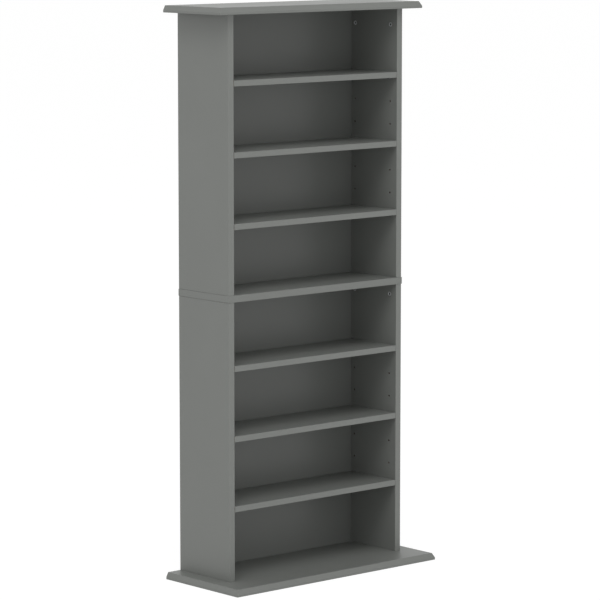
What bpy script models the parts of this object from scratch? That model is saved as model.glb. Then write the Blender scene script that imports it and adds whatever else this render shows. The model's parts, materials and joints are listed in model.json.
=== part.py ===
"""Tall media storage unit: two stacked carcasses between a moulded base board and a moulded top board.

Sizes are in metres. The origin is on the floor under the middle of the unit's outline,
with +X to the right of someone who faces the shelves, +Y to the back and +Z up.
"""

import math
from collections import namedtuple

import bmesh
import bpy
from mathutils import Matrix, Vector

# Boards
BOARD = 0.018
SHELF_BOARD = 0.015
BACK_BOARD = 0.003
CARCASS_WIDTH = 0.593
CARCASS_DEPTH = 0.198
LOWER_HEIGHT = 0.715
UPPER_HEIGHT = 0.705
ARRIS = 0.0008

# How far the flat boards stand out past the side panels
TOP_SIDE_OVERHANG = 0.0465
TOP_FRONT_OVERHANG = 0.026
BASE_SIDE_OVERHANG = 0.0465
BASE_FRONT_OVERHANG = 0.086
MID_OVERHANG = 0.0012

# Edge moulding of the base and top boards: an upright nose, a straight slope to the top, and eased corners
MOULD_NOSE = 0.006
MOULD_INSET = 0.0062
MOULD_EASE = 0.0012
MID_ROUND = 0.0012

# Back panels, held in grooves
BACK_RECESS = 0.0193
GROOVE_DEPTH = 0.006

# Peg holes and the pins that carry the shelves
PEG_HOLE_RADIUS = 0.0025
PEG_HOLE_DEPTH = 0.0105
PEG_PITCH = 0.060
PEG_ROWS = 7
ROWS_PER_SHELF = 3
LOWER_FIRST_PEG = 0.1755
UPPER_FIRST_PEG = 0.1625
HEAD_ROWS = 2
FRONT_COLUMN = 0.0258
REAR_COLUMN = 0.014
PIN_REACH = 0.008
PIN_TONGUE_RADIUS = 0.003
PIN_COLLAR_RADIUS = 0.0038
PIN_COLLAR = 0.0012
PIN_CHAMFER = 0.0006

# Cam locks, and the bolts that they draw on
CAM_BORE_RADIUS = 0.006
CAM_WALL = 0.0042
CAM_RIM = 0.0014
CAM_DISH = 0.0008
CROSS_MARGIN = 0.0012
CROSS_WIDTH = 0.0013
CROSS_DEPTH = 0.0022
TOP_CAM_DROP = 0.0424
MID_CAM_DROP = 0.0277
BOLT_HEAD_RADIUS = 0.0026
BOLT_HEAD = 0.003
BOLT_NECK_RADIUS = 0.0015
BOLT_SHANK_RADIUS = 0.0025
BOLT_COLLAR_RADIUS = 0.0036
BOLT_COLLAR = 0.0015
BOLT_THREAD_RADIUS = 0.0032
TOP_THREAD = 0.011
MID_THREAD = 0.020

# Screws up through the base board
SCREW_RADIUS = 0.0032
SCREW_BITE = 0.032
SCREW_HEAD_RADIUS = 0.0048
SCREW_HEAD = 0.0035
SCREW_SINK = 0.0005
SOCKET_RADIUS = 0.0023
SOCKET_DEPTH = 0.0025
SOCKET_SIDES = 6
THREAD_POINT = 0.0015

# Clearances
GAP = 0.0003
SHELF_SIDE_GAP = 0.001
SHELF_REAR_GAP = 0.0007
HOLE_END_GAP = 0.0005
CAM_CLEARANCE = 0.0006

# Facets of round shapes, how far a cutter runs past the face that it opens, and what counts as one point
ARC_STEPS = 2
PIN_SIDES = 12
HOLE_SIDES = 16
BORE_SIDES = 10
CAM_SIDES = 20
CUT_PAST = 0.004
MERGE = 0.00001

INNER_HALF = CARCASS_WIDTH / 2 - BOARD
SIDE_CENTRE = INNER_HALF + BOARD / 2
REAR = (CARCASS_DEPTH + max(BASE_FRONT_OVERHANG, TOP_FRONT_OVERHANG)) / 2
FRONT = REAR - CARCASS_DEPTH
BACK_REAR = REAR - BACK_RECESS
BACK_FRONT = BACK_REAR - BACK_BOARD
LOWER_TOP = BOARD + LOWER_HEIGHT
MID_TOP = LOWER_TOP + BOARD
UPPER_TOP = MID_TOP + UPPER_HEIGHT
COLUMNS = {"front": FRONT + FRONT_COLUMN, "rear": BACK_FRONT - REAR_COLUMN}
SIDES = {"left": -1, "right": 1}
CAM_RADIUS = CAM_BORE_RADIUS - GAP
CAM_DEPTH = BOARD / 2 + CAM_WALL
PIN_RADIUS = PEG_HOLE_RADIUS - GAP
PIN_DEPTH = PEG_HOLE_DEPTH - HOLE_END_GAP
BOLT_BORE_RADIUS = BOLT_COLLAR_RADIUS + GAP
THREAD_HOLE_RADIUS = BOLT_THREAD_RADIUS + GAP
SCREW_HOLE_RADIUS = SCREW_RADIUS + GAP

# A carcass between two flat boards; the holes in the feet of its sides take what holds it down
Half = namedtuple("Half", "name floor ceiling first_peg cam_drop foot_radius foot_depth")
LOWER = Half("lower", BOARD, LOWER_TOP, LOWER_FIRST_PEG, MID_CAM_DROP, SCREW_HOLE_RADIUS, SCREW_BITE)
UPPER = Half("upper", MID_TOP, UPPER_TOP, UPPER_FIRST_PEG, TOP_CAM_DROP, THREAD_HOLE_RADIUS, MID_THREAD)

# Turns that carry an outline drawn in X and Y, and extruded along Z, into its place
UPRIGHT = Matrix.Identity(4)
ALONG_Y = Matrix.Rotation(math.radians(90), 4, "X")
ALONG_X = Matrix(((0, 0, 1, 0), (1, 0, 0, 0), (0, 1, 0, 0), (0, 0, 0, 1)))


def clear_scene():
    for obj in list(bpy.data.objects):
        bpy.data.objects.remove(obj)


def new_collection(name, parent):
    collection = bpy.data.collections.new(name)
    parent.children.link(collection)
    return collection


def finish(name, colour, roughness, metallic=0.0):
    """A Principled material, with its colour as the eye reads it turned into linear light."""
    material = bpy.data.materials.new(name)
    material.use_nodes = True
    shader = material.node_tree.nodes["Principled BSDF"]
    shader.inputs["Base Color"].default_value = (*(level**2.2 for level in colour), 1)
    shader.inputs["Roughness"].default_value = roughness
    shader.inputs["Metallic"].default_value = metallic
    return material


clear_scene()
PARTS = new_collection("media_storage_unit", bpy.context.scene.collection)
CUTTERS = new_collection("media_storage_unit_cutters", bpy.context.scene.collection)
ROOT = bpy.data.objects.new("media_storage_unit_origin", None)
PARTS.objects.link(ROOT)

FOIL_GREY = finish("satin_grey_foil", (0.49, 0.50, 0.485), 0.5)
SHELF_GREY = finish("satin_grey_shelf_foil", (0.49, 0.50, 0.485), 0.48)
BACK_GREY = finish("satin_grey_back_board", (0.47, 0.48, 0.465), 0.42)
PIN_GREY = finish("grey_pin_plastic", (0.35, 0.36, 0.35), 0.45)
CAM_ZINC = finish("cast_zinc", (0.74, 0.75, 0.76), 0.35, 1.0)
BOLT_STEEL = finish("plated_steel", (0.78, 0.77, 0.74), 0.3, 1.0)


def evaluated_mesh(obj):
    """The object's mesh with its modifiers applied; the object itself is removed."""
    bpy.context.view_layer.update()
    graph = bpy.context.evaluated_depsgraph_get()
    mesh = bpy.data.meshes.new_from_object(obj.evaluated_get(graph))
    bpy.data.objects.remove(obj)
    return mesh


def shade_round(mesh):
    mesh.shade_smooth()
    mesh.set_sharp_from_angle(angle=math.radians(35))


def guide(name, data):
    """An object that only helps to make another: no render shows it."""
    obj = bpy.data.objects.new(name, data)
    obj.hide_render = True
    obj.display_type = "WIRE"
    CUTTERS.objects.link(obj)
    return obj


def prism(name, outline, length, turn):
    """A mesh of the closed outline, extruded to its length and turned into place about its middle."""
    curve = bpy.data.curves.new(name, "CURVE")
    curve.dimensions = "2D"
    curve.fill_mode = "BOTH"
    curve.extrude = length / 2
    spline = curve.splines.new("POLY")
    spline.points.add(len(outline) - 1)
    for point, (across, up) in zip(spline.points, outline):
        point.co = (across, up, 0, 1)
    spline.use_cyclic_u = True
    mesh = evaluated_mesh(guide(name, curve))
    bm = bmesh.new()
    bm.from_mesh(mesh)
    bmesh.ops.remove_doubles(bm, verts=bm.verts, dist=MERGE)
    bmesh.ops.transform(bm, matrix=turn, verts=bm.verts)
    bmesh.ops.recalc_face_normals(bm, faces=bm.faces)
    bm.to_mesh(mesh)
    bm.free()
    return mesh


def turned(name, profile, sides):
    """A mesh turned about Z from (radius, height) points, which run from the top down the outside."""
    bm = bmesh.new()
    points = [bm.verts.new((radius, 0, height)) for radius, height in profile]
    for ends in zip(points, points[1:]):
        bm.edges.new(ends)
    mesh = bpy.data.meshes.new(name)
    bm.to_mesh(mesh)
    bm.free()
    shape = guide(name, mesh)
    screw = shape.modifiers.new("turn", "SCREW")
    screw.steps = screw.render_steps = sides
    screw.use_merge_vertices = True
    screw.merge_threshold = MERGE
    return evaluated_mesh(shape)


def box_mesh(name, low, high):
    low, high = Vector(low), Vector(high)
    bm = bmesh.new()
    size = Matrix.Diagonal((*(high - low), 1))
    bmesh.ops.create_cube(bm, size=1, matrix=Matrix.Translation((low + high) / 2) @ size)
    mesh = bpy.data.meshes.new(name)
    bm.to_mesh(mesh)
    bm.free()
    return mesh


def box_cutter(name, low, high):
    return guide(name, box_mesh(name, low, high))


def drill(name, start, end, radius, sides=BORE_SIDES):
    """A drill between two points, whose flats lie on the round hole's radius."""
    start, end = Vector(start), Vector(end)
    way = end - start
    drawn = radius / math.cos(math.pi / sides)
    matrix = Matrix.Translation((start + end) / 2) @ way.to_track_quat("Z", "Y").to_matrix().to_4x4()
    bm = bmesh.new()
    bmesh.ops.create_cone(
        bm, cap_ends=True, segments=sides, radius1=drawn, radius2=drawn, depth=way.length, matrix=matrix
    )
    mesh = bpy.data.meshes.new(name)
    bm.to_mesh(mesh)
    bm.free()
    return guide(name, mesh)


def cut(part, cutters):
    """One Boolean that takes a collection of cutters out of the part."""
    group = new_collection(f"{part.name}_cutters", CUTTERS)
    for cutter in cutters:
        CUTTERS.objects.unlink(cutter)
        group.objects.link(cutter)
    modifier = part.modifiers.new("cut", "BOOLEAN")
    modifier.operation = "DIFFERENCE"
    modifier.solver = "EXACT"
    modifier.operand_type = "COLLECTION"
    modifier.collection = group
    return group


def carved(shape, cutters):
    """The mesh of a shape with its cutters taken out, for pieces that are made once and copied."""
    group = cut(shape, cutters)
    mesh = evaluated_mesh(shape)
    for cutter in cutters:
        bpy.data.objects.remove(cutter)
    bpy.data.collections.remove(group)
    return mesh


def place(name, mesh, material, location=(0, 0, 0), turn=0.0):
    part = bpy.data.objects.new(name, mesh)
    part.location = location
    part.rotation_euler.z = turn
    part.parent = ROOT
    mesh.materials.clear()
    mesh.materials.append(material)
    PARTS.objects.link(part)
    return part


def fastener_places():
    """(place name, side, Y) for the four corners that every row of fasteners shares."""
    for side_name, side in SIDES.items():
        for column_name, y in COLUMNS.items():
            yield f"{column_name}_{side_name}", side, y


def arc(centre, radius, start_degrees, end_degrees):
    """Points along an arc, both ends included."""
    for step in range(ARC_STEPS + 1):
        angle = math.radians(start_degrees + (end_degrees - start_degrees) * step / ARC_STEPS)
        yield centre[0] + radius * math.cos(angle), centre[1] + radius * math.sin(angle)


def rounded_rectangle(width, height, radius):
    """The outline of a board's section, with its four corners eased."""
    points = []
    for turn, (sign_x, sign_y) in enumerate(((1, 1), (-1, 1), (-1, -1), (1, -1))):
        centre = (sign_x * (width / 2 - radius), sign_y * (height / 2 - radius))
        points += arc(centre, radius, 90 * turn, 90 * turn + 90)
    return points


def eased_edge(radius):
    """An edge as (inset, height) points from the underside to the top, with both of its arrises eased."""
    return [*arc((radius, radius), radius, 270, 180), *arc((radius, BOARD - radius), radius, 180, 90)]


def moulded_edge():
    """The moulded edge, as points like those of eased_edge."""
    lean = math.atan2(MOULD_INSET, BOARD - MOULD_NOSE)
    drop = MOULD_EASE * math.tan(lean / 2)
    setback = MOULD_EASE * math.tan((math.pi / 2 - lean) / 2)
    slope = 180 - math.degrees(lean)
    lower = arc((ARRIS, ARRIS), ARRIS, 270, 180)
    nose = arc((MOULD_EASE, MOULD_NOSE - drop), MOULD_EASE, 180, slope)
    brow = arc((MOULD_INSET + setback, BOARD - MOULD_EASE), MOULD_EASE, slope, 90)
    return [*lower, *nose, *brow]


def section(length, low_edge, high_edge):
    """A flat board's section: one edge at each end of its length, and its underside at height 0."""
    high = [(length / 2 - inset, height) for inset, height in high_edge]
    low = [(inset - length / 2, height) for inset, height in low_edge]
    return high + low[::-1]


def flat_board(name, side_overhang, front_overhang, underside, edge):
    """A flat board with an edge shape on its front and both ends, mitred at the corners and plain behind."""
    width = CARCASS_WIDTH + 2 * side_overhang
    depth = CARCASS_DEPTH + front_overhang
    across = prism(name, section(width, edge, edge), depth + 2 * CUT_PAST, ALONG_Y)
    along = prism(name, section(depth, edge, eased_edge(ARRIS)), width + 2 * CUT_PAST, ALONG_X)
    from_front, from_side = guide(name, across), guide(name, along)
    meet = from_front.modifiers.new("meet", "BOOLEAN")
    meet.operation = "INTERSECT"
    meet.solver = "EXACT"
    meet.object = from_side
    mesh = evaluated_mesh(from_front)
    bpy.data.objects.remove(from_side)
    return place(name, mesh, FOIL_GREY, (0, REAR - depth / 2, underside))


def board_groove(name, bottom, top):
    """The cutter of a groove across a flat board, as wide as the back panel and its edges need."""
    reach = INNER_HALF + GROOVE_DEPTH
    return box_cutter(name, (-reach, BACK_FRONT - GAP, bottom), (reach, BACK_REAR + GAP, top))


def base_board():
    part = flat_board("base_board", BASE_SIDE_OVERHANG, BASE_FRONT_OVERHANG, 0, moulded_edge())
    cutters = [board_groove("base_groove", BOARD - GROOVE_DEPTH, BOARD + CUT_PAST)]
    head_top = SCREW_SINK + SCREW_HEAD + GAP
    for where, side, y in fastener_places():
        x = side * SIDE_CENTRE
        under, over = (x, y, -CUT_PAST), (x, y, BOARD + CUT_PAST)
        cutters.append(drill(f"base_hole_{where}", under, over, SCREW_HOLE_RADIUS))
        cutters.append(
            drill(f"base_head_{where}", under, (x, y, head_top), SCREW_HEAD_RADIUS + GAP, HOLE_SIDES)
        )
    cut(part, cutters)


def mid_board():
    part = flat_board("mid_board", MID_OVERHANG, MID_OVERHANG, LOWER_TOP, eased_edge(MID_ROUND))
    cutters = [
        board_groove("mid_groove_below", LOWER_TOP - CUT_PAST, LOWER_TOP + GROOVE_DEPTH),
        board_groove("mid_groove_above", MID_TOP - GROOVE_DEPTH, MID_TOP + CUT_PAST),
    ]
    for where, side, y in fastener_places():
        x = side * SIDE_CENTRE
        low, high = LOWER_TOP - CUT_PAST, MID_TOP + CUT_PAST
        cutters.append(drill(f"mid_hole_{where}", (x, y, low), (x, y, high), BOLT_BORE_RADIUS))
    cut(part, cutters)


def top_board():
    part = flat_board("top_board", TOP_SIDE_OVERHANG, TOP_FRONT_OVERHANG, UPPER_TOP, moulded_edge())
    cutters = [board_groove("top_groove", UPPER_TOP - CUT_PAST, UPPER_TOP + GROOVE_DEPTH)]
    for where, side, y in fastener_places():
        x = side * SIDE_CENTRE
        low, high = UPPER_TOP - CUT_PAST, UPPER_TOP + TOP_THREAD + HOLE_END_GAP
        cutters.append(drill(f"top_hole_{where}", (x, y, low), (x, y, high), THREAD_HOLE_RADIUS))
    cut(part, cutters)


def peg_heights(half):
    """Heights of a half's peg rows: PEG_ROWS of them, or as many as leave HEAD_ROWS pitches clear above."""
    room = half.ceiling - half.floor - half.first_peg
    rows = min(PEG_ROWS, int(room / PEG_PITCH) + 1 - HEAD_ROWS)
    return [half.floor + half.first_peg + row * PEG_PITCH for row in range(rows)]


def peg_drills(half, side):
    inner = side * INNER_HALF
    for row, z in enumerate(peg_heights(half)):
        for column, y in COLUMNS.items():
            start, end = (inner - side * CUT_PAST, y, z), (inner + side * PEG_HOLE_DEPTH, y, z)
            yield drill(f"peg_{column}_{row}", start, end, PEG_HOLE_RADIUS, HOLE_SIDES)


def joint_drills(half, side):
    """Cam bores, the bores from the top end to the cams, and the holes in the bottom end."""
    inner, x = side * INNER_HALF, side * SIDE_CENTRE
    cam_z = half.ceiling - half.cam_drop
    foot_end = half.floor + GAP + half.foot_depth + HOLE_END_GAP
    for column, y in COLUMNS.items():
        mouth = (inner - side * CUT_PAST, y, cam_z)
        cam_end = (inner + side * (CAM_DEPTH + HOLE_END_GAP), y, cam_z)
        yield drill(f"cam_{column}", mouth, cam_end, CAM_BORE_RADIUS, CAM_SIDES)
        yield drill(f"bolt_{column}", (x, y, cam_z), (x, y, half.ceiling + CUT_PAST), BOLT_BORE_RADIUS)
        yield drill(f"foot_{column}", (x, y, half.floor - CUT_PAST), (x, y, foot_end), half.foot_radius)


def side_groove(half, side):
    near, far = side * (INNER_HALF - CUT_PAST), side * (INNER_HALF + GROOVE_DEPTH)
    low = (min(near, far), BACK_FRONT - GAP, half.floor - CUT_PAST)
    high = (max(near, far), BACK_REAR + GAP, half.ceiling + CUT_PAST)
    return box_cutter("groove", low, high)


def side_panel(half, side_name, side):
    name = f"{half.name}_side_{side_name}"
    height = half.ceiling - half.floor - 2 * GAP
    mesh = prism(name, rounded_rectangle(BOARD, CARCASS_DEPTH, ARRIS), height, UPRIGHT)
    middle = (side * SIDE_CENTRE, (FRONT + REAR) / 2, (half.floor + half.ceiling) / 2)
    part = place(name, mesh, FOIL_GREY, middle)
    cut(part, [*peg_drills(half, side), *joint_drills(half, side), side_groove(half, side)])


def back_panel(half):
    """A thin board whose four edges stand in the grooves of the boards around it."""
    reach = INNER_HALF + GROOVE_DEPTH - GAP
    low = (-reach, BACK_FRONT, half.floor - GROOVE_DEPTH + GAP)
    high = (reach, BACK_REAR, half.ceiling + GROOVE_DEPTH - GAP)
    name = f"{half.name}_back_panel"
    place(name, box_mesh(name, low, high), BACK_GREY)


def pin_mesh():
    """A shelf pin along +X, with X = 0 at the panel's face: a stem, a collar, a tongue cut flat on top."""
    profile = (
        (0, PIN_REACH),
        (PIN_TONGUE_RADIUS - PIN_CHAMFER, PIN_REACH),
        (PIN_TONGUE_RADIUS, PIN_REACH - PIN_CHAMFER),
        (PIN_TONGUE_RADIUS, GAP + PIN_COLLAR),
        (PIN_COLLAR_RADIUS, GAP + PIN_COLLAR),
        (PIN_COLLAR_RADIUS, GAP),
        (PIN_RADIUS, GAP),
        (PIN_RADIUS, -PIN_DEPTH),
        (0, -PIN_DEPTH),
    )
    mesh = turned("shelf_pin", profile, PIN_SIDES)
    facet_up = Matrix.Rotation(math.pi / PIN_SIDES, 4, "Z")
    mesh.transform(Matrix.Rotation(math.radians(90), 4, "Y") @ facet_up)
    over = PIN_COLLAR_RADIUS + CUT_PAST
    flat = box_cutter("pin_flat", (0, -over, PIN_RADIUS), (PIN_REACH + CUT_PAST, over, over))
    mesh = carved(guide("shelf_pin", mesh), [flat])
    shade_round(mesh)
    return mesh


def shelf(name, peg_z):
    """A loose shelf. Its origin is at its middle, on the line along which it draws out to the front."""
    length = 2 * (INNER_HALF - SHELF_SIDE_GAP)
    depth = BACK_FRONT - SHELF_REAR_GAP - FRONT
    mesh = prism(name, rounded_rectangle(depth, SHELF_BOARD, ARRIS), length, ALONG_X)
    underside = peg_z + PIN_RADIUS + GAP
    place(name, mesh, SHELF_GREY, (0, FRONT + depth / 2, underside + SHELF_BOARD / 2))


def shelves():
    pin = pin_mesh()
    rows = [z for half in (LOWER, UPPER) for z in peg_heights(half)[::ROWS_PER_SHELF]]
    for number, peg_z in enumerate(rows, 1):
        name = f"shelf_{number}"
        shelf(name, peg_z)
        for where, side, y in fastener_places():
            turn = math.pi if side > 0 else 0
            place(f"{name}_pin_{where}", pin, PIN_GREY, (side * INNER_HALF, y, peg_z), turn)


def cam_mesh():
    """A cam along +X, with X = 0 at its dished face, a cross for the driver, a mouth that opens upwards."""
    dish = CAM_RADIUS - CAM_RIM
    profile = (
        (0, -CAM_DISH),
        (dish, -CAM_DISH),
        (dish, 0),
        (CAM_RADIUS, 0),
        (CAM_RADIUS, -CAM_DEPTH),
        (0, -CAM_DEPTH),
    )
    mesh = turned("cam", profile, CAM_SIDES)
    mesh.transform(Matrix.Rotation(math.radians(90), 4, "Y"))
    bolt_x = -BOARD / 2
    wide, narrow = BOLT_HEAD_RADIUS + CAM_CLEARANCE, BOLT_NECK_RADIUS + CAM_CLEARANCE
    head_end = BOLT_HEAD / 2 + CAM_CLEARANCE
    floor = -CAM_DISH - CROSS_DEPTH
    half_long, half_wide = dish - CROSS_MARGIN, CROSS_WIDTH / 2
    over = CAM_RADIUS + CUT_PAST
    cutters = [
        box_cutter("cross_level", (floor, -half_long, -half_wide), (CUT_PAST, half_long, half_wide)),
        box_cutter("cross_upright", (floor, -half_wide, -half_long), (CUT_PAST, half_wide, half_long)),
        box_cutter("chamber", (bolt_x - wide, -wide, -head_end), (bolt_x + wide, wide, head_end)),
        box_cutter("mouth", (bolt_x - narrow, -narrow, 0), (bolt_x + narrow, narrow, over)),
    ]
    mesh = carved(guide("cam", mesh), cutters)
    shade_round(mesh)
    return mesh


def bolt_mesh(name, shoulder, thread):
    """A cam bolt along +Z, with Z = 0 at the middle of its head and its thread from the shoulder up."""
    top = shoulder + thread
    seat = shoulder - GAP
    head_end = BOLT_HEAD / 2
    profile = (
        (0, top),
        (BOLT_THREAD_RADIUS - THREAD_POINT, top),
        (BOLT_THREAD_RADIUS, top - THREAD_POINT),
        (BOLT_THREAD_RADIUS, seat),
        (BOLT_COLLAR_RADIUS, seat),
        (BOLT_COLLAR_RADIUS, seat - BOLT_COLLAR),
        (BOLT_SHANK_RADIUS, seat - BOLT_COLLAR),
        (BOLT_SHANK_RADIUS, CAM_BORE_RADIUS + CAM_CLEARANCE),
        (BOLT_NECK_RADIUS, CAM_BORE_RADIUS),
        (BOLT_NECK_RADIUS, head_end),
        (BOLT_HEAD_RADIUS, head_end),
        (BOLT_HEAD_RADIUS, -head_end),
        (0, -head_end),
    )
    mesh = turned(name, profile, BORE_SIDES)
    shade_round(mesh)
    return mesh


def cam_joints():
    """The cams and their bolts: short bolts in the top board, long ones through the mid board."""
    cam = cam_mesh()
    through = MID_CAM_DROP + BOARD + GAP
    bolts = {
        LOWER: ("mid_bolt", bolt_mesh("mid_bolt", through, MID_THREAD)),
        UPPER: ("top_bolt", bolt_mesh("top_bolt", TOP_CAM_DROP, TOP_THREAD)),
    }
    for half, (bolt_name, bolt) in bolts.items():
        cam_z = half.ceiling - half.cam_drop
        for where, side, y in fastener_places():
            turn = math.pi if side > 0 else 0
            place(f"{half.name}_cam_{where}", cam, CAM_ZINC, (side * INNER_HALF, y, cam_z), turn)
            place(f"{bolt_name}_{where}", bolt, BOLT_STEEL, (side * SIDE_CENTRE, y, cam_z))


def screw_mesh():
    """A base screw along +Z, with Z = 0 at the floor: a sunk socket head, a plain shank for its thread."""
    top = BOARD + GAP + SCREW_BITE
    head_top = SCREW_SINK + SCREW_HEAD
    profile = (
        (0, top),
        (SCREW_RADIUS - THREAD_POINT, top),
        (SCREW_RADIUS, top - THREAD_POINT),
        (SCREW_RADIUS, head_top),
        (SCREW_HEAD_RADIUS, head_top),
        (SCREW_HEAD_RADIUS, SCREW_SINK),
        (0, SCREW_SINK),
    )
    mesh = turned("base_screw", profile, PIN_SIDES)
    socket_floor = (0, 0, SCREW_SINK + SOCKET_DEPTH)
    socket = drill("socket", (0, 0, -CUT_PAST), socket_floor, SOCKET_RADIUS, SOCKET_SIDES)
    mesh = carved(guide("base_screw", mesh), [socket])
    shade_round(mesh)
    return mesh


def base_screws():
    screw = screw_mesh()
    for where, side, y in fastener_places():
        place(f"base_screw_{where}", screw, BOLT_STEEL, (side * SIDE_CENTRE, y, 0))


def main():
    base_board()
    mid_board()
    top_board()
    for half in (LOWER, UPPER):
        for side_name, side in SIDES.items():
            side_panel(half, side_name, side)
        back_panel(half)
    shelves()
    cam_joints()
    base_screws()


main()
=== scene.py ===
import json
import math

import bmesh
import bpy
from mathutils import Matrix, Vector

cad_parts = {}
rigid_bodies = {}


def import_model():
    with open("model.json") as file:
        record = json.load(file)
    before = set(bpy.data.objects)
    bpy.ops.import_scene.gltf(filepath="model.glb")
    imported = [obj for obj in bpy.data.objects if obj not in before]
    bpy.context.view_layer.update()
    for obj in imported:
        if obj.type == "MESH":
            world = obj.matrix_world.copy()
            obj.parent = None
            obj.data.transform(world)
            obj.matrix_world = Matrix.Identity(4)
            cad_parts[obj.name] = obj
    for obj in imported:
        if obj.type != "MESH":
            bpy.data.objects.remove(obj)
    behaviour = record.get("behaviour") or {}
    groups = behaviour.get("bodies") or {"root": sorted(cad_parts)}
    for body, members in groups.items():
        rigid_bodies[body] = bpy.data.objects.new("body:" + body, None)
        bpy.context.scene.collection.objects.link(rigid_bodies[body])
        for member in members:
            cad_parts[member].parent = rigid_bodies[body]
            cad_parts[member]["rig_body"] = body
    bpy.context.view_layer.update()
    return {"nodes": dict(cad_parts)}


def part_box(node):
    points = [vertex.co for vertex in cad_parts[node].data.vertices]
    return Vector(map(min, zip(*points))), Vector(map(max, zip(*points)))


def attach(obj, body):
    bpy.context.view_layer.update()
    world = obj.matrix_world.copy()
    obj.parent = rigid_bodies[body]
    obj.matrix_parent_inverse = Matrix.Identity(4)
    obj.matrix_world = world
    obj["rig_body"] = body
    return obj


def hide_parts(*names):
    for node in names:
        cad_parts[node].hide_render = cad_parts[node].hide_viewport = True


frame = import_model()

# Base board: 18 mm board wrapped in satin grey foil, moulded along its front and both ends and cut
# straight at the rear. It lies on the floor. A groove in its top takes the lower back panel, and four
# counterbored holes take the screws that hold the sides.
CORNERS = [f"{column}_{side}" for side in ("left", "right") for column in ("front", "rear")]
GAP = 0.0003
ARRIS = 0.0008
MOULD_NOSE = 0.006
MOULD_INSET = 0.0062
MOULD_EASE = 0.0012
GROOVE_DEPTH = 0.006
SCREW_HOLE_RADIUS = 0.0035
SCREW_HEAD_BORE_RADIUS = 0.0051
SCREW_HEAD_BORE_DEPTH = 0.0043
CUT_PAST = 0.004
ARC_STEPS = 5
BORE_SIDES = 32
SHARP_ANGLE = 32
NOISE_LOW = 0.25
NOISE_HIGH = 0.75
FOIL_GREY = (0.162, 0.169, 0.159)
FOIL_TONES = (0.965, 1.035)
FOIL_ROUGHNESS = 0.42
FOIL_GLOSS = 0.32
CLOUD_SIZE = 0.16
SPECK_SIZE = 0.0006
RUBBED_SIZE = 0.09
RUBBED_CHANGE = 0.03
PEEL = {"size": 0.0022, "depth": 0.00001, "strength": 0.6}
SWELL = {"size": 0.014, "depth": 0.00003, "strength": 0.5}
CORE_BROWN = (0.34, 0.24, 0.15)
CORE_TONES = (0.6, 1.4)
CORE_ROUGHNESS = 0.9
FLAKE_SIZE = 0.0014
FIBRE = {"size": 0.0008, "depth": 0.0002, "strength": 0.8, "detail": 3.0}
FACE, CORE = 0, 1


def add(tree, kind, inputs=(), **settings):
    """A shader node. An input is a value, or the socket that feeds it."""
    node = tree.nodes.new(kind)
    for name, value in settings.items():
        setattr(node, name, value)
    for name, value in dict(inputs).items():
        if isinstance(value, bpy.types.NodeSocket):
            tree.links.new(value, node.inputs[name])
        else:
            node.inputs[name].default_value = value
    return node


def blank_material(name, colour, roughness, metallic=0.0):
    """A material, its node tree, its shader, and the place on the piece that its textures follow."""
    material = bpy.data.materials.new(name)
    material.use_nodes = True
    tree = material.node_tree
    shader = tree.nodes["Principled BSDF"]
    shader.inputs["Base Color"].default_value = (*colour, 1)
    shader.inputs["Roughness"].default_value = roughness
    shader.inputs["Metallic"].default_value = metallic
    return material, tree, shader, add(tree, "ShaderNodeTexCoord").outputs["Object"]


def noise(tree, place, size, detail=2.0):
    """Soft noise whose patches are about size metres across."""
    made = add(tree, "ShaderNodeTexNoise", {"Vector": place, "Scale": 1 / size, "Detail": detail})
    return made.outputs["Fac"]


def spread(tree, factor, low, high):
    """The noise stretched to run from low to high, around its middle."""
    span = {"Value": factor, "From Min": NOISE_LOW, "From Max": NOISE_HIGH, "To Min": low, "To Max": high}
    return add(tree, "ShaderNodeMapRange", span).outputs["Result"]


def combined(tree, operation, first, second):
    """Two factors, or a factor and a number, put together by one sum."""
    return add(tree, "ShaderNodeMath", {0: first, 1: second}, operation=operation).outputs[0]


def blended(tree, first, second):
    """Two noises in equal parts."""
    return combined(tree, "MULTIPLY", combined(tree, "ADD", first, second), 0.5)


def bumped(tree, height, distance, strength, under=None):
    """A bump over the surface, or over another bump."""
    inputs = {"Height": height, "Distance": distance, "Strength": strength}
    if under is not None:
        inputs["Normal"] = under
    return add(tree, "ShaderNodeBump", inputs).outputs[0]


def relief(tree, place, size, depth, strength, detail=2.0, under=None):
    """A bump of soft noise, over the surface or over another bump."""
    return bumped(tree, noise(tree, place, size, detail), depth, strength, under)


def shade(colour, share):
    """The colour made darker by a share below 1, or lighter by one above."""
    return tuple(channel * share for channel in colour)


def tinted(tree, factor, colour, tones):
    """The colour between two tones of it: the first where the factor is 0, the second where it is 1."""
    dark, light = (shade(colour, tone) for tone in tones)
    made = add(tree, "ShaderNodeMix", data_type="RGBA")
    tree.links.new(factor, made.inputs["Factor"])
    made.inputs["A"].default_value = (*dark, 1)
    made.inputs["B"].default_value = (*light, 1)
    return made.outputs["Result"]


def foil(name, colour, roughness, gloss):
    """Satin printed foil: a faint cloudiness, pearl specks, and the board's unevenness showing through."""
    material, tree, shader, place = blank_material(name, colour, roughness)
    shader.inputs["Specular IOR Level"].default_value = gloss
    mottle = blended(tree, noise(tree, place, CLOUD_SIZE), noise(tree, place, SPECK_SIZE, detail=1.0))
    greys = tinted(tree, spread(tree, mottle, 0, 1), colour, FOIL_TONES)
    tree.links.new(greys, shader.inputs["Base Color"])
    patches = noise(tree, place, RUBBED_SIZE, detail=3.0)
    rubbed = spread(tree, patches, roughness - RUBBED_CHANGE, roughness + RUBBED_CHANGE)
    tree.links.new(rubbed, shader.inputs["Roughness"])
    peel = relief(tree, place, **PEEL)
    swell = relief(tree, place, **SWELL, under=peel)
    tree.links.new(swell, shader.inputs["Normal"])
    return material


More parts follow.
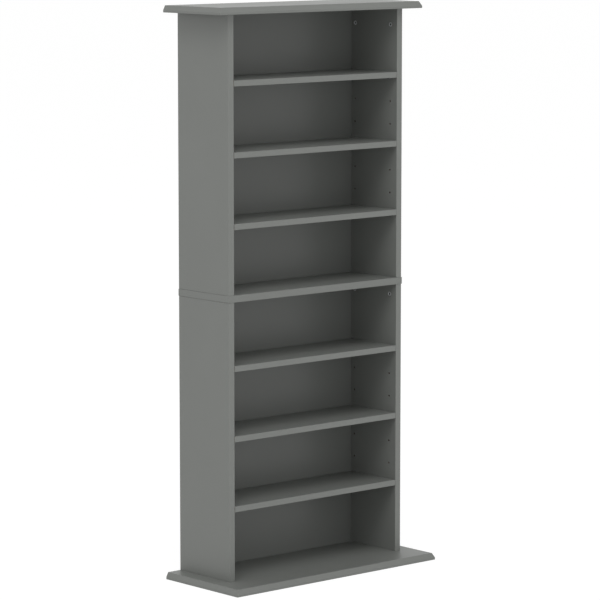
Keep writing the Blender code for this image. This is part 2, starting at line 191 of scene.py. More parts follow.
def raw_board(name, colour):
    """The sawn and drilled core of the boards: pressed wood flakes, rough and dull."""
    material, tree, shader, place = blank_material(name, colour, CORE_ROUGHNESS)
    flakes = add(tree, "ShaderNodeTexVoronoi", {"Vector": place, "Scale": 1 / FLAKE_SIZE})
    grains = add(tree, "ShaderNodeSeparateColor", {"Color": flakes.outputs["Color"]})
    browns = tinted(tree, grains.outputs["Red"], colour, CORE_TONES)
    tree.links.new(browns, shader.inputs["Base Color"])
    tree.links.new(relief(tree, place, **FIBRE), shader.inputs["Normal"])
    return material


def arc(centre, radius, start, end):
    """Points along an arc about its centre, in degrees, both ends included."""
    x, y = centre
    angles = [math.radians(start + (end - start) * step / ARC_STEPS) for step in range(ARC_STEPS + 1)]
    return [(x + radius * math.cos(angle), y + radius * math.sin(angle)) for angle in angles]


def lofted(rings):
    """A closed form through rings of points, each ring anticlockwise as seen from the last one's side."""
    form = bmesh.new()
    loops = [[form.verts.new(point) for point in ring] for ring in rings]
    for below, above in zip(loops, loops[1:]):
        for here in range(len(below)):
            after = (here + 1) % len(below)
            form.faces.new((below[here], below[after], above[after], above[here]))
    form.faces.new(reversed(loops[0]))
    form.faces.new(loops[-1])
    return form


def flat_board(low, high, edge):
    """A board that lies flat, with an edge of (inset, height) points on its front and both ends."""
    rings = []
    for inset, height in edge:
        left, right, front = low.x + inset, high.x - inset, low.y + inset
        z = low.z + height
        rings.append([(left, front, z), (right, front, z), (right, high.y, z), (left, high.y, z)])
    form = lofted(rings)
    rear = [
        side
        for side in form.edges
        if {end.co.y for end in side.verts} == {high.y}
        and {end.co.z for end in side.verts} in ({low.z}, {high.z})
    ]
    bmesh.ops.bevel(form, geom=rear, offset=ARRIS, segments=ARC_STEPS, profile=0.5, affect="EDGES")
    return form


def moulded_edge(height):
    """An upright nose and a straight slope to the top, with the corners between them eased."""
    lean = math.atan2(MOULD_INSET, height - MOULD_NOSE)
    drop = MOULD_EASE * math.tan(lean / 2)
    setback = MOULD_EASE * math.tan((math.pi / 2 - lean) / 2)
    slope = 180 - math.degrees(lean)
    lower = arc((ARRIS, ARRIS), ARRIS, 270, 180)
    nose = arc((MOULD_EASE, MOULD_NOSE - drop), MOULD_EASE, 180, slope)
    brow = arc((MOULD_INSET + setback, height - MOULD_EASE), MOULD_EASE, slope, 90)
    return [*lower, *nose, *brow]


def mesh_of(name, form, materials, number=FACE):
    """The form as a mesh with these materials, and every face in the one of that number."""
    mesh = bpy.data.meshes.new(name)
    form.to_mesh(mesh)
    form.free()
    for material in materials:
        mesh.materials.append(material)
    mesh.polygons.foreach_set("material_index", [number] * len(mesh.polygons))
    return mesh


def drill(start, end, radius, sides=BORE_SIDES):
    """The form of a round bore between two points."""
    start, end = Vector(start), Vector(end)
    turn = (end - start).to_track_quat("Z", "Y").to_matrix().to_4x4()
    form = bmesh.new()
    bmesh.ops.create_cone(
        form,
        cap_ends=True,
        segments=sides,
        radius1=radius,
        radius2=radius,
        depth=(end - start).length,
        matrix=Matrix.Translation((start + end) / 2) @ turn,
    )
    return form


def block(low, high):
    """The form of a square-edged block between two corners, as a piece or to cut a groove with."""
    low, high = Vector(low), Vector(high)
    form = bmesh.new()
    size = Matrix.Diagonal((*(high - low), 1))
    bmesh.ops.create_cube(form, size=1, matrix=Matrix.Translation((low + high) / 2) @ size)
    return form


def machined(name, mesh, cutters, cut_face=CORE):
    """The mesh with the cutters taken out; the faces that they leave take the material of that number."""
    work = bpy.data.objects.new(name, mesh)
    bpy.context.scene.collection.objects.link(work)
    group = bpy.data.collections.new(f"{name}_cutters")
    for number, form in enumerate(cutters):
        cutter = f"{name}_cutter_{number}"
        cutter_mesh = mesh_of(cutter, form, mesh.materials, cut_face)
        group.objects.link(bpy.data.objects.new(cutter, cutter_mesh))
    cut = work.modifiers.new("cut", "BOOLEAN")
    cut.operation = "DIFFERENCE"
    cut.solver = "EXACT"
    cut.operand_type = "COLLECTION"
    cut.collection = group
    bpy.context.view_layer.update()
    made = bpy.data.meshes.new_from_object(work.evaluated_get(bpy.context.evaluated_depsgraph_get()))
    for obj in [work, *group.objects]:
        bpy.data.objects.remove(obj)
    bpy.data.collections.remove(group)
    return made


def fitted(name, mesh, node, place=None):
    """The finished piece in its node's place, shaded smooth: it rides the node's body, and the node is
    hidden.
    """
    piece = bpy.data.objects.new(name, mesh)
    if place is not None:
        piece.matrix_world = place
    bpy.context.scene.collection.objects.link(piece)
    mesh.shade_smooth()
    mesh.set_sharp_from_angle(angle=math.radians(SHARP_ANGLE))
    normals = piece.modifiers.new("flat_faces", "WEIGHTED_NORMAL")
    normals.keep_sharp = True
    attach(piece, frame["nodes"][node]["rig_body"])
    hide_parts(node)


def middle(node):
    """The middle of a node's box."""
    low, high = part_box(node)
    return (low + high) / 2


board_foil = foil("satin_grey_foil", FOIL_GREY, FOIL_ROUGHNESS, FOIL_GLOSS)
board_core = raw_board("raw_board_core", CORE_BROWN)


def panel_groove(panel, bottom, top):
    """The groove for a back panel's edge, across a flat board between two heights."""
    low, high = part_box(panel)
    return block((low.x - GAP, low.y - GAP, bottom), (high.x + GAP, high.y + GAP, top))


low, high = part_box("base_board")
form = flat_board(low, high, moulded_edge(high.z - low.z))
mesh = mesh_of("base_board_mesh", form, [board_foil, board_core])
cutters = [panel_groove("lower_back_panel", high.z - GROOVE_DEPTH, high.z + CUT_PAST)]
for corner in CORNERS:
    at = middle(f"base_screw_{corner}")
    below = (at.x, at.y, low.z - CUT_PAST)
    cutters.append(drill(below, (at.x, at.y, high.z + CUT_PAST), SCREW_HOLE_RADIUS))
    cutters.append(drill(below, (at.x, at.y, low.z + SCREW_HEAD_BORE_DEPTH), SCREW_HEAD_BORE_RADIUS))
fitted("foiled_base_board", machined("base_board", mesh, cutters), "base_board")

# Lower and upper sides: upright boards of the same foiled 18 mm board, banded along the front and rear
# edges and sawn square at both ends. Each is drilled with two columns of peg holes, bores for the two cam
# locks and their bolts, and holes in its foot, and grooved for the back panel.
BAND, BORE = 2, 3
BAND_THICKNESS = 0.001
BAND_GREY = shade(FOIL_GREY, 1.04)
BAND_ROUGHNESS = 0.38
END_FACING = 0.9
PEG_RADIUS = 0.0025
PEG_DEPTH = 0.0105
PEG_ROWS = 7
ROWS_PER_SHELF = 3
PIN_COLLAR_RADIUS = 0.0038
CAM_BORE_RADIUS = 0.006
CAM_BORE_DEPTH = 0.0137
CAM_SIDES = 48
BOLT_BORE_RADIUS = 0.0039
FOOT_BORE_RADIUS = 0.0035
FOOT_ROOM = 0.0005
# The bore walls are a darker brown than the raw core: painted shade for the dark inside the holes and the
# groove.
BORE_SHADE_BROWN = (0.09, 0.072, 0.055)

edge_band = foil("satin_grey_edge_band", BAND_GREY, BAND_ROUGHNESS, FOIL_GLOSS)
shaded_bore_wall = raw_board("bore_wall_painted_shade", BORE_SHADE_BROWN)


def peg_heights(first_shelf, second_shelf):
    """The heights of a side's peg rows, from the pins of two shelves in turn."""
    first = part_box(f"{first_shelf}_pin_front_left")[0].z + PIN_COLLAR_RADIUS
    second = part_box(f"{second_shelf}_pin_front_left")[0].z + PIN_COLLAR_RADIUS
    pitch = (second - first) / ROWS_PER_SHELF
    return [first + row * pitch for row in range(PEG_ROWS)]


def upright(low, high):
    """An upright board with eased arrises, its faces parted at the seams of its two edge bands."""
    outline = []
    centre = (low + high) / 2
    half = (high - low) / 2
    for turn, (x, y) in enumerate(((1, 1), (-1, 1), (-1, -1), (1, -1))):
        turned_about = (centre.x + x * (half.x - ARRIS), centre.y + y * (half.y - ARRIS))
        outline += arc(turned_about, ARRIS, 90 * turn, 90 * turn + 90)
    form = lofted([[(x, y, z) for x, y in outline] for z in (low.z, high.z)])
    for seam in (low.y + BAND_THICKNESS, high.y - BAND_THICKNESS):
        everything = [*form.verts, *form.edges, *form.faces]
        bmesh.ops.bisect_plane(form, geom=everything, plane_co=(0, seam, 0), plane_no=(0, 1, 0))
    return form


def side_panel(half, side_name, pegs, foot):
    """One side, with its edge bands, its groove, and every hole and bore in it."""
    node = f"{half}_side_{side_name}"
    low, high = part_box(node)
    mesh = mesh_of(f"{node}_mesh", upright(low, high), [board_foil, board_core, edge_band, shaded_bore_wall])
    for face in mesh.polygons:
        if min(face.center.y - low.y, high.y - face.center.y) < BAND_THICKNESS:
            face.material_index = BAND
        elif abs(face.normal.z) > END_FACING:
            face.material_index = CORE
    panel_low, panel_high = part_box(f"{half}_back_panel")
    if side_name == "left":
        inward, inner, panel_edge = 1, high.x, panel_low.x
    else:
        inward, inner, panel_edge = -1, low.x, panel_high.x
    outside = inner + inward * CUT_PAST
    peg_end = inner - inward * PEG_DEPTH
    x = (low.x + high.x) / 2
    cutters = []
    for column in ("front", "rear"):
        cam = middle(f"{half}_cam_{column}_{side_name}")
        for z in pegs:
            cutters.append(drill((outside, cam.y, z), (peg_end, cam.y, z), PEG_RADIUS))
        bottom = (inner - inward * CAM_BORE_DEPTH, cam.y, cam.z)
        cutters.append(drill((outside, cam.y, cam.z), bottom, CAM_BORE_RADIUS, CAM_SIDES))
        cutters.append(drill((x, cam.y, cam.z), (x, cam.y, high.z + CUT_PAST), BOLT_BORE_RADIUS))
        foot_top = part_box(f"{foot}_{column}_{side_name}")[1].z + FOOT_ROOM
        cutters.append(drill((x, cam.y, low.z - CUT_PAST), (x, cam.y, foot_top), FOOT_BORE_RADIUS))
    near, far = sorted((panel_edge - inward * GAP, outside))
    groove_low = (near, panel_low.y - GAP, low.z - CUT_PAST)
    groove_high = (far, panel_high.y + GAP, high.z + CUT_PAST)
    cutters.append(block(groove_low, groove_high))
    # The faces that the cutters leave, in the holes and the groove, take the darker brown of painted
    # shade.
    fitted(f"foiled_{node}", machined(node, mesh, cutters, BORE), node)


for half, shelf_pair, foot in (
    ("lower", ("shelf_1", "shelf_2"), "base_screw"),
    ("upper", ("shelf_4", "shelf_5"), "mid_bolt"),
):
    for side_name in ("left", "right"):
        side_panel(half, side_name, peg_heights(*shelf_pair), foot)

# Base screws: four zinc-plated steel screws with a coarse thread for board, a round head and a hex socket.
# They go in from below through the base board, and pull the lower sides down on to it.
THREAD_PITCH = 0.0025
THREAD_DEPTH = 0.0008
THREAD_STEPS = 10
THREAD_SIDES = 20
THREAD_CREST = 0.4
THREAD_POINT = 0.0015
HEAD_CHAMFER = 0.0004
SCREW_HEAD_HEIGHT = 0.0035
SOCKET_RADIUS = 0.0023
SOCKET_DEPTH = 0.0025
SOCKET_SIDES = 6
SHANK_RADIUS = 0.0026
SCREW_THREAD_RADIUS = 0.0032
METAL_TONES = (0.86, 1.08)
TONE_GRAINS = 3
DULL_GRAINS = 6
SHINIER = 0.07
DULLER = 0.09
GRAIN_DEPTH = 0.1
STEEL_GREY = (0.58, 0.56, 0.52)
STEEL_ROUGHNESS = 0.3
STEEL_GRAIN = 0.0004
STEEL_RELIEF = 0.4


def bare_metal(name, colour, roughness, grain, strength, clean=1.0):
    """Metal with a fine grain of its own size, duller in places; the less clean, the more it is oxide."""
    material, tree, shader, place = blank_material(name, colour, roughness, clean)
    patches = noise(tree, place, grain * DULL_GRAINS, detail=3.0)
    dull = spread(tree, patches, roughness - SHINIER, roughness + DULLER)
    tree.links.new(dull, shader.inputs["Roughness"])
    tone = spread(tree, noise(tree, place, grain * TONE_GRAINS), 0, 1)
    tree.links.new(tinted(tree, tone, colour, METAL_TONES), shader.inputs["Base Color"])
    grained = relief(tree, place, size=grain, depth=grain * GRAIN_DEPTH, strength=strength)
    tree.links.new(grained, shader.inputs["Normal"])
    return material


def ring(radius, height, sides):
    """A round ring of points about the Z axis; the radius may change with the turn, from 0 to 1."""
    points = []
    for step in range(sides):
        turn = step / sides
        reach = radius(turn) if callable(radius) else radius
        angle = 2 * math.pi * turn
        points.append((reach * math.cos(angle), reach * math.sin(angle), height))
    return points


def turned(outline, sides):
    """Rings of a form turned about the Z axis, from its (radius, height) points."""
    return [ring(radius, z, sides) for radius, z in outline]


def thread(low, high, radius):
    """Rings up a screw thread: one crest climbs a pitch each turn, and the end is pointed."""
    rings = []
    steps = round((high - low) / THREAD_PITCH * THREAD_STEPS)
    for step in range(1, steps + 1):
        z = low + (high - low) * step / steps
        start = min(1, (z - low) / THREAD_PITCH)
        pointed = max(0, z - high + THREAD_POINT)

        def reach(turn):
            phase = (z / THREAD_PITCH - turn) % 1
            dip = min(1, abs(2 * phase - 1) / THREAD_CREST)
            depth = THREAD_DEPTH * (1 - start * (1 - dip))
            return radius - depth - pointed * (1 - THREAD_DEPTH / THREAD_POINT * dip)

        rings.append(ring(reach, z, THREAD_SIDES))
    return rings


plated_steel = bare_metal("plated_steel", STEEL_GREY, STEEL_ROUGHNESS, STEEL_GRAIN, STEEL_RELIEF)


def base_screw(low, high):
    """A screw that stands on the Z axis, with its head down."""
    head_radius = (high.x - low.x) / 2
    head_top = low.z + SCREW_HEAD_HEIGHT
    threaded_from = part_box("base_board")[1].z
    outline = (
        (head_radius - HEAD_CHAMFER, low.z),
        (head_radius, low.z + HEAD_CHAMFER),
        (head_radius, head_top - HEAD_CHAMFER),
        (head_radius - HEAD_CHAMFER, head_top),
        (SHANK_RADIUS, head_top),
        (SHANK_RADIUS, threaded_from),
    )
    threaded = thread(threaded_from, high.z, SCREW_THREAD_RADIUS)
    mesh = mesh_of("base_screw_blank", lofted(turned(outline, THREAD_SIDES) + threaded), [plated_steel])
    socket = drill((0, 0, low.z - CUT_PAST), (0, 0, low.z + SOCKET_DEPTH), SOCKET_RADIUS, SOCKET_SIDES)
    return machined("base_screw", mesh, [socket], FACE)


mesh = base_screw(*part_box("base_screw_front_left"))
for corner in CORNERS:
    node = f"base_screw_{corner}"
    at = middle(node)
    fitted(f"threaded_{node}", mesh, node, Matrix.Translation((at.x, at.y, 0)))

# Back panels: 3 mm hardboard, smooth and faced in grey towards the shelves, and bare brown behind with the
# mark of the wire screen that it was pressed on. Each stands in the grooves of the boards round it.
PANEL_GREY = (0.131, 0.137, 0.129)
PANEL_ROUGHNESS = 0.32
PANEL_GLOSS = 0.32
PANEL_ARRIS = 0.0003
FRONT_FACING = -0.5
HARDBOARD_BROWN = (0.20, 0.125, 0.07)
HARDBOARD_TONES = (0.75, 1.25)
HARDBOARD_ROUGHNESS = 0.8
FELT_SIZE = 0.004
PATCH_SIZE = 0.12
SCREEN_PITCH = 0.0016
SCREEN_DEPTH = 0.00015
SCREEN_STRENGTH = 0.7
WIRE_SWAY = 0.4
WIRE_SWAY_SCALE = 200.0
# Metres between two crests of a wave texture whose scale is 1
WAVE_REPEAT = math.pi / 10

panel_face = foil("faced_hardboard", PANEL_GREY, PANEL_ROUGHNESS, PANEL_GLOSS)


def screened_hardboard(name, colour):
    """Bare hardboard: brown felted fibre under a square screen mark."""
    material, tree, shader, place = blank_material(name, colour, HARDBOARD_ROUGHNESS)
    felt = blended(tree, noise(tree, place, FELT_SIZE, detail=6.0), noise(tree, place, PATCH_SIZE))
    browns = tinted(tree, spread(tree, felt, 0, 1), colour, HARDBOARD_TONES)
    tree.links.new(browns, shader.inputs["Base Color"])
    waves = {
        "Vector": place,
        "Scale": WAVE_REPEAT / SCREEN_PITCH,
        "Distortion": WIRE_SWAY,
        "Detail Scale": WIRE_SWAY_SCALE,
    }
    upright_wires = add(tree, "ShaderNodeTexWave", waves, bands_direction="X").outputs["Fac"]
    level_wires = add(tree, "ShaderNodeTexWave", waves, bands_direction="Z").outputs["Fac"]
    screen = combined(tree, "MULTIPLY", upright_wires, level_wires)
    tree.links.new(bumped(tree, screen, SCREEN_DEPTH, SCREEN_STRENGTH), shader.inputs["Normal"])
    return material


bare_panel = screened_hardboard("screened_hardboard", HARDBOARD_BROWN)

for half in ("lower", "upper"):
    node = f"{half}_back_panel"
    low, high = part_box(node)
    form = block(low, high)
    bmesh.ops.bevel(form, geom=form.edges[:], offset=PANEL_ARRIS, segments=2, profile=0.5, affect="EDGES")
    mesh = mesh_of(f"{node}_mesh", form, [panel_face, bare_panel])
    for face in mesh.polygons:
        face.material_index = FACE if face.normal.y < FRONT_FACING else CORE
    fitted(f"faced_{node}", mesh, node)

# Mid board: an 18 mm foiled board between the two halves, a little proud of them at the front and both
# ends, with lightly rounded edges. The long cam bolts pass through it, and both faces are grooved for the
# back panels.
MID_ROUND = 0.0012


def rounded_edge(radius, height):
    """Edges eased above and below."""
    return [*arc((radius, radius), radius, 270, 180), *arc((radius, height - radius), radius, 180, 90)]


low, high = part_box("mid_board")
form = flat_board(low, high, rounded_edge(MID_ROUND, high.z - low.z))
mesh = mesh_of("mid_board_mesh", form, [board_foil, board_core])
cutters = [
    panel_groove("lower_back_panel", low.z - CUT_PAST, low.z + GROOVE_DEPTH),
    panel_groove("upper_back_panel", high.z - GROOVE_DEPTH, high.z + CUT_PAST),
]
for corner in CORNERS:
    at = middle(f"mid_bolt_{corner}")
    below, above = (at.x, at.y, low.z - CUT_PAST), (at.x, at.y, high.z + CUT_PAST)
    cutters.append(drill(below, above, BOLT_BORE_RADIUS))
fitted("foiled_mid_board", machined("mid_board", mesh, cutters), "mid_board")

# Cam locks: round cams of cast zinc, dulled a little by oxide, in blind bores in the head of each side.
# Each has a raised rim with a small three-cornered mark, a cross with a deep eye for the driver, and a
# chamber that draws the bolt's head down when it is turned.
CAM_RIM = 0.0014
CAM_DISH = 0.0005
CAM_CHAMFER = 0.0003
CROSS_MARGIN = 0.0015
CROSS_WIDTH = 0.002
CROSS_DEPTH = 0.0026
EYE_RADIUS = 0.0025
EYE_DEPTH = 0.0042
MARK_SIZE = 0.0006
MARK_DEPTH = 0.0003
MARK_SIDES = 3
HEAD_ROOM = 0.0006
BOLT_HEAD_RADIUS = 0.0026
BOLT_HEAD_HEIGHT = 0.003
BOLT_NECK_RADIUS = 0.0015
ZINC_GREY = (0.54, 0.55, 0.56)
ZINC_ROUGHNESS = 0.45
ZINC_GRAIN = 0.0003
ZINC_RELIEF = 0.6
ZINC_CLEAN = 0.6
# The driver's cross and eye are near-black: painted shade for the dark deep inside the recess.
RECESS_SHADE_GREY = (0.06, 0.06, 0.06)
RECESS_SHADE_ROUGHNESS = 0.6
RECESS_SHADE_CLEAN = 0.5

cast_zinc = bare_metal("cast_zinc", ZINC_GREY, ZINC_ROUGHNESS, ZINC_GRAIN, ZINC_RELIEF, ZINC_CLEAN)
recess_shade = bare_metal("painted_recess_shade", RECESS_SHADE_GREY, RECESS_SHADE_ROUGHNESS, ZINC_GRAIN, ZINC_RELIEF, RECESS_SHADE_CLEAN)


def facing_in(side_name, at):
    """The place of a piece that is modelled along +Z from a side's inner face, with its +Y turned up."""
    inward = Vector((1, 0, 0)) if side_name == "left" else Vector((-1, 0, 0))
    up = Vector((0, 0, 1))
    turn = Matrix((up.cross(inward), up, inward)).transposed().to_4x4()
    return Matrix.Translation(at) @ turn


def cam_lock(radius, depth, bolt_z):
    """A cam with its rim at Z = 0, its body below, its bolt's middle at bolt_z and its mouth to +Y."""
    dish = radius - CAM_RIM
    outline = (
        (radius - CAM_CHAMFER, -depth),
        (radius, CAM_CHAMFER - depth),
        (radius, -CAM_CHAMFER),
        (radius - CAM_CHAMFER, 0),
        (dish + CAM_CHAMFER, 0),
        (dish, -CAM_CHAMFER),
        (dish, -CAM_DISH),
    )
    mesh = mesh_of("cam_blank", lofted(turned(outline, CAM_SIDES)), [cast_zinc, recess_shade])
    wide, narrow = BOLT_HEAD_RADIUS + HEAD_ROOM, BOLT_NECK_RADIUS + HEAD_ROOM
    head_end = BOLT_HEAD_HEIGHT / 2 + HEAD_ROOM
    floor = -CAM_DISH - CROSS_DEPTH
    eye_end = -CAM_DISH - EYE_DEPTH
    half_long, half_wide = dish - CROSS_MARGIN, CROSS_WIDTH / 2
    mark = bmesh.new()
    on_rim = Matrix.Translation((0, radius - CAM_RIM / 2, 0))
    bmesh.ops.create_cone(
        mark,
        cap_ends=True,
        segments=MARK_SIDES,
        radius1=MARK_SIZE,
        radius2=MARK_SIZE,
        depth=2 * MARK_DEPTH,
        matrix=on_rim @ Matrix.Rotation(math.radians(90), 4, "Z"),
    )
    body_cutters = [
        block((-wide, -head_end, bolt_z - wide), (wide, head_end, bolt_z + wide)),
        block((-narrow, 0, bolt_z - narrow), (narrow, radius + CUT_PAST, bolt_z + narrow)),
        mark,
    ]
    driver_cutters = [
        block((-half_long, -half_wide, floor), (half_long, half_wide, CUT_PAST)),
        block((-half_wide, -half_long, floor), (half_wide, half_long, CUT_PAST)),
        drill((0, 0, eye_end), (0, 0, CUT_PAST), EYE_RADIUS),
    ]
    # The cross and eye of the driver's recess take the near-black painted shade.
    body = machined("cam_body", mesh, body_cutters, FACE)
    return machined("cam", body, driver_cutters, CORE)


side_low, side_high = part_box("lower_side_left")
cam_low, cam_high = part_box("lower_cam_front_left")
mesh = cam_lock((cam_high.y - cam_low.y) / 2, cam_high.x - cam_low.x, (side_low.x - side_high.x) / 2)
for half in ("lower", "upper"):
    for corner in CORNERS:
        node = f"{half}_cam_{corner}"
        side_name = corner.split("_")[1]
        low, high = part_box(node)
        face_x = high.x if side_name == "left" else low.x
        at = (face_x, (low.y + high.y) / 2, (low.z + high.z) / 2)
        fitted(f"zinc_{node}", mesh, node, facing_in(side_name, at))

# Cam bolts: zinc-plated steel, turned with a button head on a thin neck for the cam, a collar and a coarse
# thread. The long ones rise through the mid board into the upper sides, and the short ones are screwed
# into the top board.
NECK_REACH = 0.006
COLLAR_RADIUS = 0.0036
COLLAR_HEIGHT = 0.0015
BOLT_SHANK_RADIUS = 0.0025
BOLT_THREAD_RADIUS = 0.0032
HEAD_ROUND = 0.0006


def cam_bolt(low, high, seat):
    """A bolt about the Z axis, head down, whose thread starts at the seat."""
    head = low.z + BOLT_HEAD_HEIGHT / 2
    outline = (
        (BOLT_HEAD_RADIUS - HEAD_ROUND, low.z),
        (BOLT_HEAD_RADIUS, low.z + HEAD_ROUND),
        (BOLT_HEAD_RADIUS, low.z + BOLT_HEAD_HEIGHT - HEAD_ROUND / 2),
        (BOLT_HEAD_RADIUS - HEAD_ROUND / 2, low.z + BOLT_HEAD_HEIGHT),
        (BOLT_NECK_RADIUS, low.z + BOLT_HEAD_HEIGHT),
        (BOLT_NECK_RADIUS, head + NECK_REACH),
        (BOLT_SHANK_RADIUS, head + NECK_REACH + HEAD_ROOM),
        (BOLT_SHANK_RADIUS, seat - COLLAR_HEIGHT),
        (COLLAR_RADIUS, seat - COLLAR_HEIGHT),
        (COLLAR_RADIUS, seat),
        (BOLT_SHANK_RADIUS, seat),
    )
    threaded = thread(seat, high.z, BOLT_THREAD_RADIUS)
    return mesh_of("cam_bolt", lofted(turned(outline, THREAD_SIDES) + threaded), [plated_steel])


for kind, under in (("mid_bolt", "mid_board"), ("top_bolt", "upper_side_left")):
    mesh = cam_bolt(*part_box(f"{kind}_front_left"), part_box(under)[1].z)
    for corner in CORNERS:
        node = f"{kind}_{corner}"
        at = middle(node)
        fitted(f"threaded_{node}", mesh, node, Matrix.Translation((at.x, at.y, 0)))

# Top board: the same moulded board as the base, with less overhang at the front. It is grooved underneath
# for the upper back panel and bored for the four short cam bolts that hang from it.
low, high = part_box("top_board")
form = flat_board(low, high, moulded_edge(high.z - low.z))
mesh = mesh_of("top_board_mesh", form, [board_foil, board_core])
cutters = [panel_groove("upper_back_panel", low.z - CUT_PAST, low.z + GROOVE_DEPTH)]
for corner in CORNERS:
    at = middle(f"top_bolt_{corner}")
    bore_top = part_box(f"top_bolt_{corner}")[1].z + FOOT_ROOM
    cutters.append(drill((at.x, at.y, low.z - CUT_PAST), (at.x, at.y, bore_top), FOOT_BORE_RADIUS))
fitted("foiled_top_board", machined("top_board", mesh, cutters), "top_board")

# Shelf pins: grey plastic, moulded in one with a ribbed stem that is pushed into a peg hole, a collar
# against the side, and a tongue with a flat top for the shelf to lie on.
SHELVES = [f"shelf_{number}" for number in range(1, 7)]
PIN_SIDES = 36
PIN_TONGUE_RADIUS = 0.003
PIN_COLLAR_THICKNESS = 0.0012
PIN_ROUND = 0.0006
PIN_STEM_RADIUS = 0.0022
RIB_DEPTH = 0.00025
RIBS = 5
RIB_PROFILE = ((0.15, 1), (0.4, 0), (0.7, 0), (0.9, 1))
GATE_RADIUS = 0.0007
GATE_DEPTH = 0.0002
PIN_GREY = (0.10, 0.105, 0.10)
PIN_TONES = (0.9, 1.1)
FLOW_SIZE = 0.003
PIN_ROUGHNESS = 0.45
SCUFF_SIZE = 0.002
SCUFF_CHANGE = 0.05
SPARK = {"size": 0.0002, "depth": 0.00001, "strength": 0.5}


def pin_plastic(name, colour):
    """Moulded plastic with a fine sparked texture and faint flow marks."""
    material, tree, shader, place = blank_material(name, colour, PIN_ROUGHNESS)
    flow = spread(tree, noise(tree, place, FLOW_SIZE), 0, 1)
    tree.links.new(tinted(tree, flow, colour, PIN_TONES), shader.inputs["Base Color"])
    patches = noise(tree, place, SCUFF_SIZE)
    scuffed = spread(tree, patches, PIN_ROUGHNESS - SCUFF_CHANGE, PIN_ROUGHNESS + SCUFF_CHANGE)
    tree.links.new(scuffed, shader.inputs["Roughness"])
    tree.links.new(relief(tree, place, **SPARK), shader.inputs["Normal"])
    return material


grey_plastic = pin_plastic("grey_pin_plastic", PIN_GREY)


def shelf_pin(stem, reach):
    """A pin along +Z, with its collar against the side at Z = 0 and its flat turned to +Y."""
    outline = [(PIN_STEM_RADIUS - 2 * RIB_DEPTH, -stem)]
    for rib in range(RIBS):
        for share, dip in RIB_PROFILE:
            outline.append((PIN_STEM_RADIUS - dip * RIB_DEPTH, -stem + stem * (rib + share) / RIBS))
    soft = PIN_ROUND / 2
    collar = GAP + PIN_COLLAR_THICKNESS
    outline.append((PIN_STEM_RADIUS, GAP))
    outline += arc((PIN_COLLAR_RADIUS - soft, GAP + soft), soft, -90, 0)
    outline += arc((PIN_COLLAR_RADIUS - soft, collar - soft), soft, 0, 90)
    outline.append((PIN_TONGUE_RADIUS, collar))
    outline += arc((PIN_TONGUE_RADIUS - PIN_ROUND, reach - PIN_ROUND), PIN_ROUND, 0, 90)
    mesh = mesh_of("pin_blank", lofted(turned(outline, PIN_SIDES)), [grey_plastic])
    over = PIN_COLLAR_RADIUS + CUT_PAST
    cutters = [
        block((-over, PIN_STEM_RADIUS, 0), (over, over, reach + CUT_PAST)),
        drill((0, 0, reach - GATE_DEPTH), (0, 0, reach + CUT_PAST), GATE_RADIUS),
    ]
    return machined("shelf_pin", mesh, cutters, FACE)


side_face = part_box("lower_side_left")[1].x
pin_low, pin_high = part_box("shelf_1_pin_front_left")
mesh = shelf_pin(side_face - pin_low.x, pin_high.x - side_face)
for shelf in SHELVES:
    for corner in CORNERS:
        node = f"{shelf}_pin_{corner}"
        side_name = corner.split("_")[1]
        low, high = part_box(node)
        x = side_face if side_name == "left" else -side_face
        at = (x, (low.y + high.y) / 2, low.z + PIN_COLLAR_RADIUS)
        fitted(f"moulded_{node}", mesh, node, facing_in(side_name, at))

# Shelves: loose 15 mm boards in the same foil, banded along the front and sawn square at both ends. Each
# lies on four pins, and draws out to the front by hand.
LAID_DOWN = Matrix(((0, 0, 1, 0), (0, 1, 0, 0), (-1, 0, 0, 0), (0, 0, 0, 1)))

shelf_foil = foil("satin_grey_shelf_foil", FOIL_GREY, FOIL_ROUGHNESS, FOIL_GLOSS)

for node in SHELVES:
    low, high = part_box(node)
    form = upright(Vector((-high.z, low.y, low.x)), Vector((-low.z, high.y, high.x)))
    bmesh.ops.transform(form, matrix=LAID_DOWN, verts=form.verts)
    mesh = mesh_of(f"{node}_mesh", form, [shelf_foil, board_core, edge_band])
    for face in mesh.polygons:
        if face.center.y - low.y < BAND_THICKNESS:
            face.material_index = BAND
        elif abs(face.normal.x) > END_FACING:
            face.material_index = CORE
    fitted(f"foiled_{node}", mesh, node)

# Room: a plain pale floor and a white surround, which lights the unit softly from all round and less from
# overhead.
SURROUND_LOW = 1.1
SURROUND_HIGH = 0.42
WHITE = (1, 1, 1, 1)
FLOOR_PALE = (0.9, 0.9, 0.9, 1)
FLOOR_SHOWN = (0.15, 0.15, 0.15, 1)
FLOOR_GLOW = 0.9
FLOOR_DROP = 0.0002
FLOOR_REACH = 60.0
FLOOR_SIDES = 64


def seen_directly(tree):
    """1 for rays from the camera and for mirror and glass rays, 0 for the soft light between surfaces."""
    path = add(tree, "ShaderNodeLightPath")
    mirrored = combined(tree, "MAXIMUM", path.outputs["Is Camera Ray"], path.outputs["Is Glossy Ray"])
    return combined(tree, "MAXIMUM", mirrored, path.outputs["Is Transmission Ray"])


world = bpy.data.worlds.new("white_surround")
world.use_nodes = True
tree = world.node_tree
tree.nodes.clear()
outward = add(tree, "ShaderNodeTexCoord").outputs["Generated"]
direction = add(tree, "ShaderNodeSeparateXYZ", {"Vector": outward})
climb = {"Value": direction.outputs["Z"], "To Min": SURROUND_LOW, "To Max": SURROUND_HIGH}
level = add(tree, "ShaderNodeMapRange", climb).outputs["Result"]
soft = add(tree, "ShaderNodeBackground", {"Color": WHITE, "Strength": level})
white = add(tree, "ShaderNodeBackground", {"Color": WHITE, "Strength": 1.0})
sights = {0: seen_directly(tree), 1: soft.outputs[0], 2: white.outputs[0]}
surround = add(tree, "ShaderNodeMixShader", sights)
add(tree, "ShaderNodeOutputWorld", {"Surface": surround.outputs[0]})
bpy.context.scene.world = world

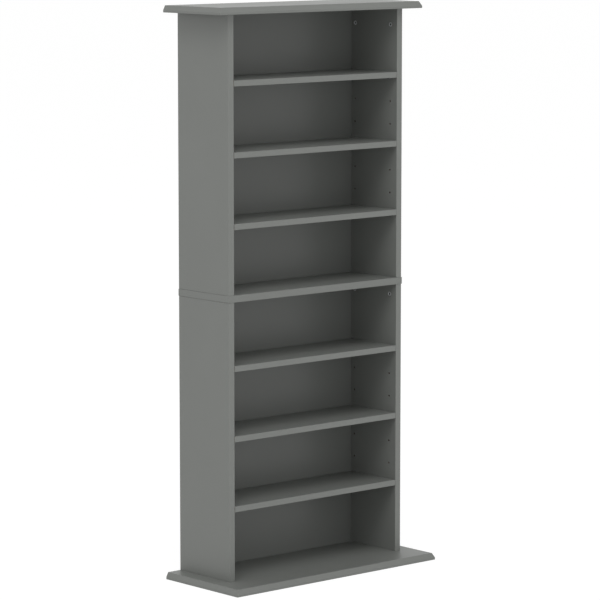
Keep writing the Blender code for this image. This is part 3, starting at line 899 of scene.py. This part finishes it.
floor_finish = bpy.data.materials.new("pale_floor")
floor_finish.use_nodes = True
tree = floor_finish.node_tree
tree.nodes.clear()
matt = add(tree, "ShaderNodeBsdfDiffuse", {"Color": FLOOR_PALE})
shown = add(tree, "ShaderNodeBsdfDiffuse", {"Color": FLOOR_SHOWN})
glow = add(tree, "ShaderNodeEmission", {"Color": WHITE, "Strength": FLOOR_GLOW})
lit = add(tree, "ShaderNodeAddShader", {0: shown.outputs[0], 1: glow.outputs[0]})
either = add(tree, "ShaderNodeMixShader", {0: seen_directly(tree), 1: matt.outputs[0], 2: lit.outputs[0]})
add(tree, "ShaderNodeOutputMaterial", {"Surface": either.outputs[0]})

form = bmesh.new()
bmesh.ops.create_circle(form, cap_ends=True, segments=FLOOR_SIDES, radius=FLOOR_REACH)
floor = bpy.data.objects.new("floor", mesh_of("floor_mesh", form, [floor_finish]))
floor.location.z = -FLOOR_DROP
bpy.context.scene.collection.objects.link(floor)

# Lamps: a broad soft box stands high in front on the left, and a weaker one low in front fills the bays.
# Both are aimed at the middle of the unit.
AIM = Vector((0, 0, 0.74))


def soft_box(name, size, power, turn, height, distance):
    """A square lamp that faces AIM, turn degrees to the right of the front and height degrees up."""
    turn, height = math.radians(turn), math.radians(height)
    out = math.cos(height)
    away = Vector((math.sin(turn) * out, -math.cos(turn) * out, math.sin(height)))
    data = bpy.data.lights.new(name, "AREA")
    data.shape = "SQUARE"
    data.size = size
    data.energy = power
    lamp = bpy.data.objects.new(name, data)
    lamp.location = AIM + away * distance
    lamp.rotation_euler = (-away).to_track_quat("-Z", "Y").to_euler()
    bpy.context.scene.collection.objects.link(lamp)


soft_box("key_soft_box", size=4.3, power=260.0, turn=-46.0, height=52.0, distance=8.0)
soft_box("fill_soft_box", size=1.6, power=12.0, turn=0.0, height=2.0, distance=4.5)

# Camera: a long lens about eight metres away, front left of the unit and a little above its top. It is
# tilted slightly down, so that the unit fills the height of the picture.
LENS_MM = 190.45
SENSOR_MM = 36.0
CAMERA_PLACE = (-5.381, -6.103, 1.781)
CAMERA_TURN = 41.355
CAMERA_TILT = 7.498
SIGHT_END = 200.0

camera_data = bpy.data.cameras.new("camera")
camera_data.sensor_width = SENSOR_MM
camera_data.lens = LENS_MM
camera_data.clip_end = SIGHT_END
camera = bpy.data.objects.new("camera", camera_data)
camera.location = CAMERA_PLACE
camera.rotation_euler = (math.radians(90 - CAMERA_TILT), 0, math.radians(-CAMERA_TURN))
bpy.context.scene.collection.objects.link(camera)
bpy.context.scene.camera = camera
bpy.context.scene.view_settings.view_transform = "Standard"
